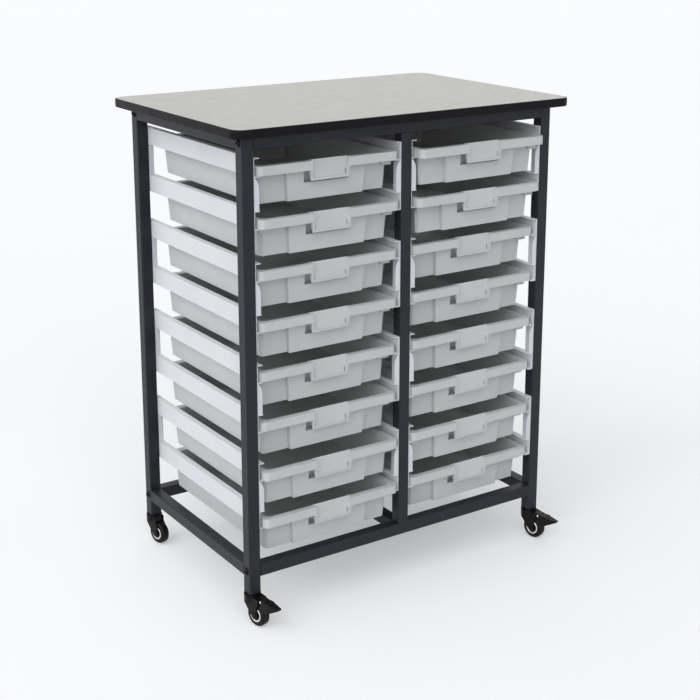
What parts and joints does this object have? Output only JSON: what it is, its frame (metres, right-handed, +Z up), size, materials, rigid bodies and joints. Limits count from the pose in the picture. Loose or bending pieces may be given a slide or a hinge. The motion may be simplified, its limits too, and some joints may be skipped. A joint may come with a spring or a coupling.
{
  "type": "classroom tray storage unit",
  "caption": "Wheeled storage unit: flat top with rounded corners on a square-tube frame, shallow trays sliding on runners in two columns, swivel castors with brake pedals.",
  "frame": {"origin": "on the floor, at the middle of the whole outline, brake pedals included", "axes": "+X to the right seen from the front, +Y towards the rear, +Z up; the trays open towards -Y"},
  "size_m": [0.794, 0.5586, 0.986],
  "materials": {
    "top_laminate": "smooth pale grey laminate on a board",
    "edge_band": "satin black plastic",
    "frame_paint": "fine-textured charcoal powder coat",
    "black_steel": "black oxide steel",
    "zinc_steel": "zinc-plated steel",
    "plug_plastic": "moulded black plastic",
    "runner_paint": "satin light grey powder coat",
    "tray_plastic": "satin light grey moulded plastic",
    "castor_plastic": "moulded black plastic",
    "wheel_tread": "black wheel",
    "pedal_plastic": "moulded black plastic"
  },
  "bodies": {
    "frame": {"table_top": "top_laminate", "table_edge_band": "edge_band", "leg_front_left": "frame_paint", "leg_front_right": "frame_paint", "leg_rear_left": "frame_paint", "leg_rear_right": "frame_paint", "upright_front": "frame_paint", "upright_rear": "frame_paint", "top_rail_front": "frame_paint", "top_rail_rear": "frame_paint", "top_rail_left": "frame_paint", "top_rail_right": "frame_paint", "top_rail_centre": "frame_paint", "bottom_rail_front": "frame_paint", "bottom_rail_rear": "frame_paint", "bottom_rail_left": "frame_paint", "bottom_rail_right": "frame_paint", "bottom_rail_centre": "frame_paint", "frame_bolts": "black_steel", "rail_plugs": "plug_plastic", "table_screws": "zinc_steel", "runner_left_1": "runner_paint", "runner_left_2": "runner_paint", "runner_left_3": "runner_paint", "runner_left_4": "runner_paint", "runner_right_1": "runner_paint", "runner_right_2": "runner_paint", "runner_right_3": "runner_paint", "runner_right_4": "runner_paint", "runner_centre_1": "runner_paint", "runner_centre_2": "runner_paint", "runner_centre_3": "runner_paint", "runner_centre_4": "runner_paint", "castor_sockets": "plug_plastic"},
    "tray_left_1": {"tray_left_1": "tray_plastic"},
    "tray_left_2": {"tray_left_2": "tray_plastic"},
    "tray_left_3": {"tray_left_3": "tray_plastic"},
    "tray_left_4": {"tray_left_4": "tray_plastic"},
    "tray_left_5": {"tray_left_5": "tray_plastic"},
    "tray_left_6": {"tray_left_6": "tray_plastic"},
    "tray_left_7": {"tray_left_7": "tray_plastic"},
    "tray_left_8": {"tray_left_8": "tray_plastic"},
    "tray_right_1": {"tray_right_1": "tray_plastic"},
    "tray_right_2": {"tray_right_2": "tray_plastic"},
    "tray_right_3": {"tray_right_3": "tray_plastic"},
    "tray_right_4": {"tray_right_4": "tray_plastic"},
    "tray_right_5": {"tray_right_5": "tray_plastic"},
    "tray_right_6": {"tray_right_6": "tray_plastic"},
    "tray_right_7": {"tray_right_7": "tray_plastic"},
    "tray_right_8": {"tray_right_8": "tray_plastic"},
    "castor_front_left": {"castor_fork_front_left": "castor_plastic"},
    "wheel_front_left": {"castor_wheel_front_left": "wheel_tread"},
    "pedal_left": {"brake_pedal_left": "pedal_plastic"},
    "castor_front_right": {"castor_fork_front_right": "castor_plastic"},
    "wheel_front_right": {"castor_wheel_front_right": "wheel_tread"},
    "pedal_right": {"brake_pedal_right": "pedal_plastic"},
    "castor_rear_left": {"castor_fork_rear_left": "castor_plastic"},
    "wheel_rear_left": {"castor_wheel_rear_left": "wheel_tread"},
    "castor_rear_right": {"castor_fork_rear_right": "castor_plastic"},
    "wheel_rear_right": {"castor_wheel_rear_right": "wheel_tread"}
  },
  "joints": [
    {"name": "tray_left_1_slide", "type": "slide", "parent": "frame", "child": "tray_left_1", "axis": [0, -1, 0], "range_m": [-0.0065, 0.3135]},
    {"name": "tray_left_2_slide", "type": "slide", "parent": "frame", "child": "tray_left_2", "axis": [0, -1, 0], "range_m": [-0.0115, 0.3085]},
    {"name": "tray_left_3_slide", "type": "slide", "parent": "frame", "child": "tray_left_3", "axis": [0, -1, 0], "range_m": [-0.006, 0.314]},
    {"name": "tray_left_4_slide", "type": "slide", "parent": "frame", "child": "tray_left_4", "axis": [0, -1, 0], "range_m": [-0.007, 0.313]},
    {"name": "tray_left_5_slide", "type": "slide", "parent": "frame", "child": "tray_left_5", "axis": [0, -1, 0], "range_m": [-0.003, 0.317]},
    {"name": "tray_left_6_slide", "type": "slide", "parent": "frame", "child": "tray_left_6", "axis": [0, -1, 0], "range_m": [-0.0065, 0.3135]},
    {"name": "tray_left_7_slide", "type": "slide", "parent": "frame", "child": "tray_left_7", "axis": [0, -1, 0], "range_m": [-0.015, 0.305]},
    {"name": "tray_left_8_slide", "type": "slide", "parent": "frame", "child": "tray_left_8", "axis": [0, -1, 0], "range_m": [-0.013, 0.307]},
    {"name": "tray_right_1_slide", "type": "slide", "parent": "frame", "child": "tray_right_1", "axis": [0, -1, 0], "range_m": [-0.0265, 0.2935]},
    {"name": "tray_right_2_slide", "type": "slide", "parent": "frame", "child": "tray_right_2", "axis": [0, -1, 0], "range_m": [-0.0185, 0.3015]},
    {"name": "tray_right_3_slide", "type": "slide", "parent": "frame", "child": "tray_right_3", "axis": [0, -1, 0], "range_m": [0, 0.32]},
    {"name": "tray_right_4_slide", "type": "slide", "parent": "frame", "child": "tray_right_4", "axis": [0, -1, 0], "range_m": [-0.001, 0.319]},
    {"name": "tray_right_5_slide", "type": "slide", "parent": "frame", "child": "tray_right_5", "axis": [0, -1, 0], "range_m": [-0.003, 0.317]},
    {"name": "tray_right_6_slide", "type": "slide", "parent": "frame", "child": "tray_right_6", "axis": [0, -1, 0], "range_m": [-0.002, 0.318]},
    {"name": "tray_right_7_slide", "type": "slide", "parent": "frame", "child": "tray_right_7", "axis": [0, -1, 0], "range_m": [-0.004, 0.316]},
    {"name": "tray_right_8_slide", "type": "slide", "parent": "frame", "child": "tray_right_8", "axis": [0, -1, 0], "range_m": [-0.003, 0.317]},
    {"name": "castor_front_left_swivel", "type": "hinge", "parent": "frame", "child": "castor_front_left", "pos_m": [-0.355, -0.20323, 0.066], "axis": [0, 0, 1], "continuous": true},
    {"name": "wheel_front_left_roll", "type": "hinge", "parent": "castor_front_left", "child": "wheel_front_left", "pos_m": [-0.35118, -0.21979, 0.024], "axis": [0.9744, 0.225, 0], "continuous": true},
    {"name": "pedal_left_press", "type": "hinge", "parent": "castor_front_left", "child": "pedal_left", "pos_m": [-0.35028, -0.22369, 0.054], "axis": [0.9744, 0.225, 0], "range_deg": [0, 7]},
    {"name": "castor_front_right_swivel", "type": "hinge", "parent": "frame", "child": "castor_front_right", "pos_m": [0.355, -0.20323, 0.066], "axis": [0, 0, 1], "continuous": true},
    {"name": "wheel_front_right_roll", "type": "hinge", "parent": "castor_front_right", "child": "wheel_front_right", "pos_m": [0.35882, -0.21979, 0.024], "axis": [0.9744, 0.225, 0], "continuous": true},
    {"name": "pedal_right_press", "type": "hinge", "parent": "castor_front_right", "child": "pedal_right", "pos_m": [0.35972, -0.22369, 0.054], "axis": [0.9744, 0.225, 0], "range_deg": [0, 7]},
    {"name": "castor_rear_left_swivel", "type": "hinge", "parent": "frame", "child": "castor_rear_left", "pos_m": [-0.355, 0.23477, 0.066], "axis": [0, 0, 1], "continuous": true},
    {"name": "wheel_rear_left_roll", "type": "hinge", "parent": "castor_rear_left", "child": "wheel_rear_left", "pos_m": [-0.35118, 0.21821, 0.024], "axis": [0.9744, 0.225, 0], "continuous": true},
    {"name": "castor_rear_right_swivel", "type": "hinge", "parent": "frame", "child": "castor_rear_right", "pos_m": [0.355, 0.23477, 0.066], "axis": [0, 0, 1], "continuous": true},
    {"name": "wheel_rear_right_roll", "type": "hinge", "parent": "castor_rear_right", "child": "wheel_rear_right", "pos_m": [0.35882, 0.21821, 0.024], "axis": [0.9744, 0.225, 0], "continuous": true}
  ]
}
